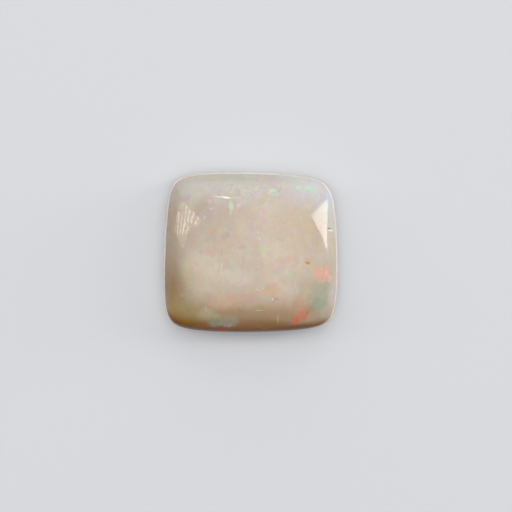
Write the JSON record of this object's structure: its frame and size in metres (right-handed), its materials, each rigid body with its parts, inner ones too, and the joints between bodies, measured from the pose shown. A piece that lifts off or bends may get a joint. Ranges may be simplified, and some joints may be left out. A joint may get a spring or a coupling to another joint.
{
  "type": "polished opal cabochon",
  "caption": "Loose cushion-cut white opal cabochon with a domed, polished crown, a slightly leaning side and a flat, bevelled back that it rests on.",
  "frame": {"origin": "middle of the flat back, below the crown", "axes": "+Z from the back to the crown, +X across the stone's longer side, +Y towards the edge that is uppermost in the picture"},
  "size_m": [0.012, 0.011, 0.0036],
  "materials": {
    "opal": "polished"
  },
  "bodies": {
    "root": {"opal_cabochon": "opal"}
  },
  "joints": []
}
